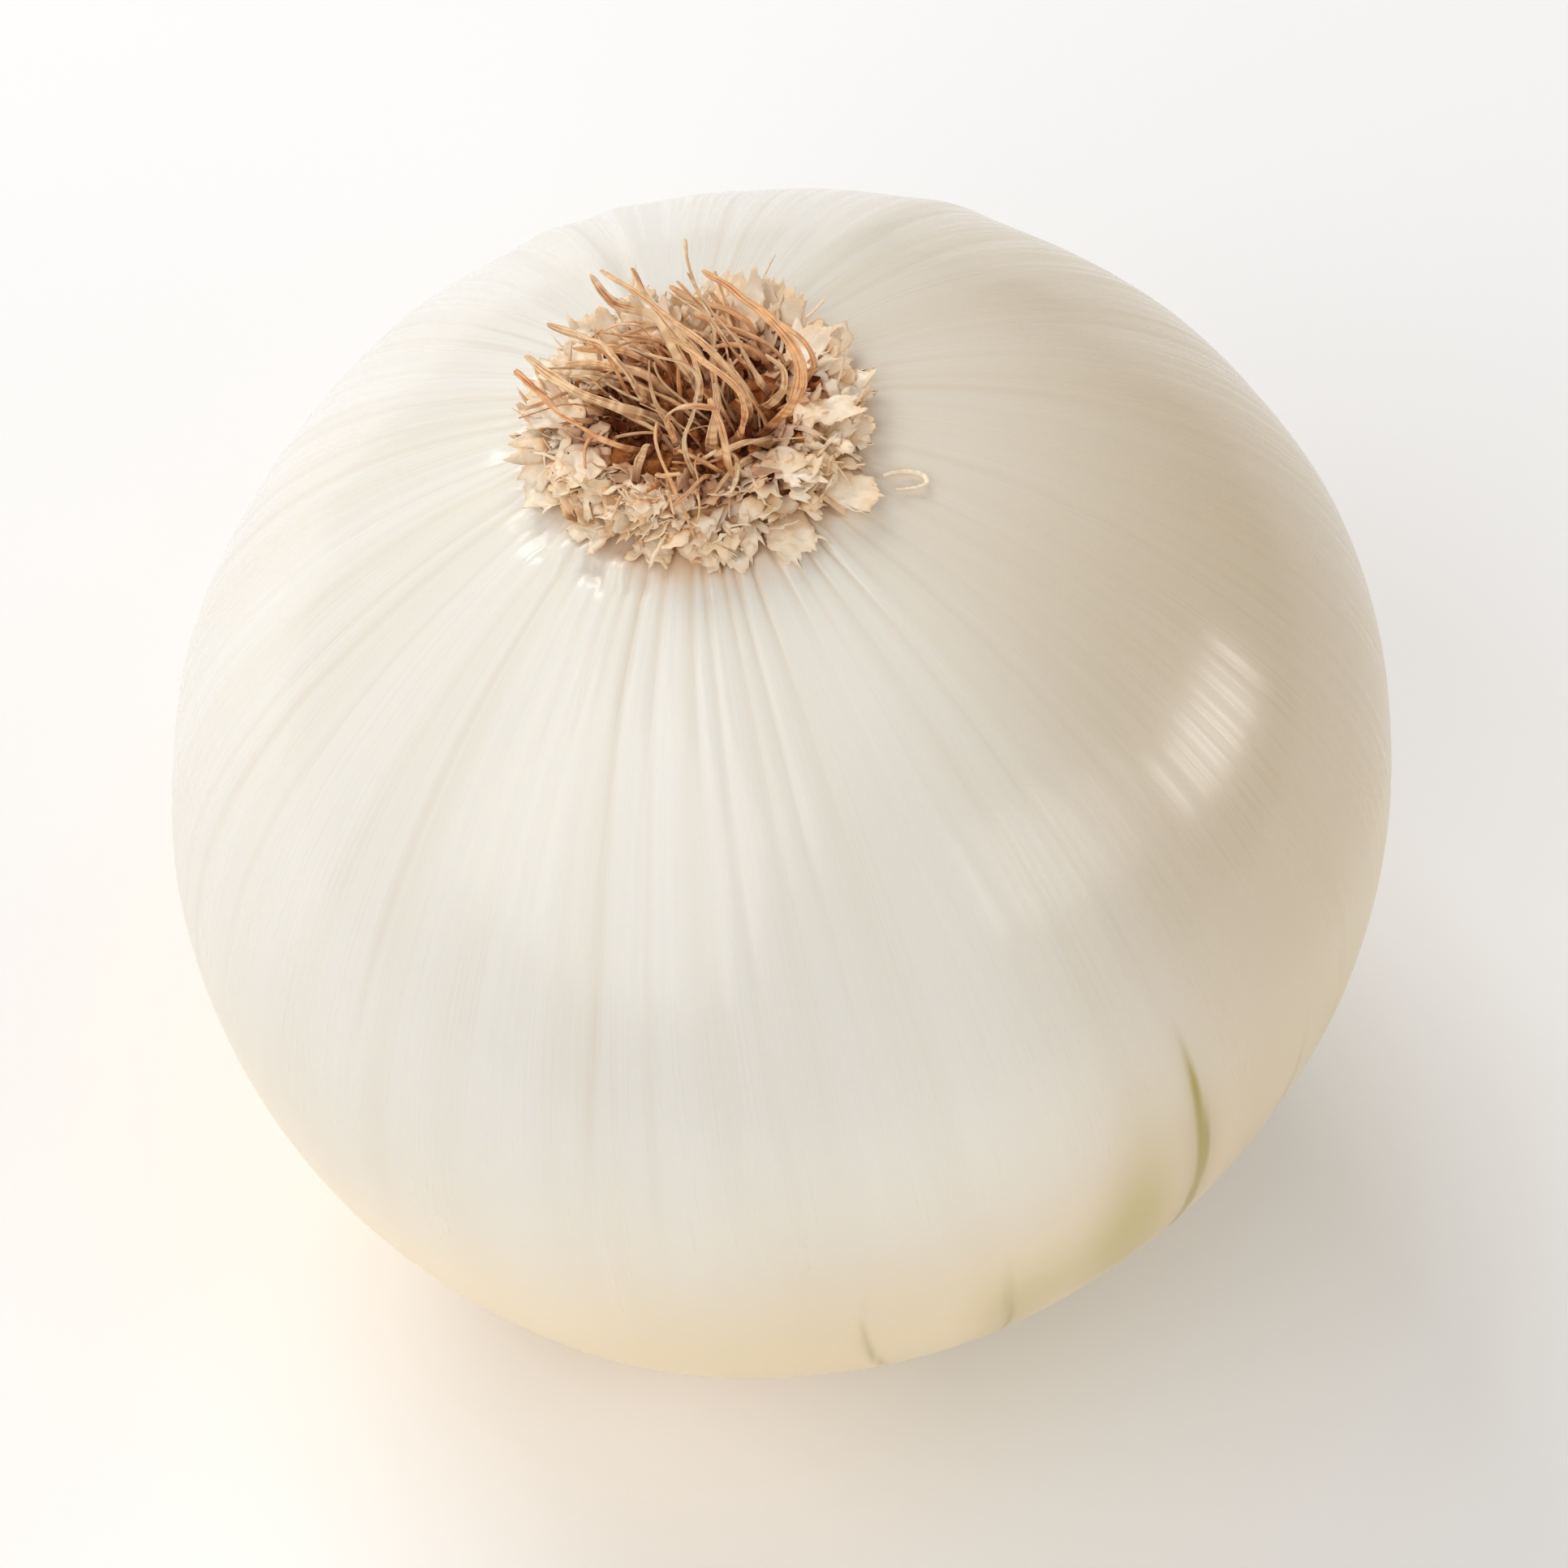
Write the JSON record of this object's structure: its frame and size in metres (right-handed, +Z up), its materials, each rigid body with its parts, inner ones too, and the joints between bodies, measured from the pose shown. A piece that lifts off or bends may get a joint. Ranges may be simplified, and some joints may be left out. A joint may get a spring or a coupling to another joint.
{
  "type": "onion",
  "caption": "Whole peeled white onion, root end up, standing on its flat trimmed neck, with dry roots and torn skin round the root plate.",
  "frame": {"origin": "centre of the flat neck cut that the onion stands on", "axes": "+Z up, away from the flat neck cut; the bulb's own axis leans 8.4 degrees from +Z towards -X at the root end; -Y is the front"},
  "size_m": [0.0892, 0.0904, 0.1],
  "materials": {
    "flesh": "moist glossy white onion leaf, slightly see-through, with pale veins",
    "cork": "dry crumbly brown root plate",
    "root": "dry wrinkled tan root",
    "skin": "thin dry torn skin, cream to tan, slightly see-through"
  },
  "bodies": {
    "root": {"bulb": "flesh", "root_plate": "cork", "root_01": "root", "root_02": "root", "root_03": "root", "root_04": "root", "root_05": "root", "root_06": "root", "root_07": "root", "root_08": "root", "root_09": "root", "root_10": "root", "root_11": "root", "root_12": "root", "root_13": "root", "root_14": "root", "root_15": "root", "root_16": "root", "root_17": "root", "root_18": "root", "root_19": "root", "root_20": "root", "root_21": "root", "root_22": "root", "root_23": "root", "root_24": "root", "root_25": "root", "root_26": "root", "root_27": "root", "root_28": "root", "skin_scrap_01": "skin", "skin_scrap_02": "skin", "skin_scrap_03": "skin", "skin_scrap_04": "skin", "skin_scrap_05": "skin", "skin_scrap_06": "skin", "skin_scrap_07": "skin", "skin_scrap_08": "skin", "skin_scrap_09": "skin", "skin_scrap_10": "skin", "skin_scrap_11": "skin", "skin_scrap_12": "skin", "skin_scrap_13": "skin", "skin_scrap_14": "skin", "skin_scrap_15": "skin", "skin_scrap_16": "skin", "skin_scrap_17": "skin", "skin_scrap_18": "skin", "skin_scrap_19": "skin", "skin_scrap_20": "skin", "skin_scrap_21": "skin", "skin_scrap_22": "skin", "skin_scrap_23": "skin", "skin_scrap_24": "skin", "skin_thread": "skin"}
  },
  "joints": []
}
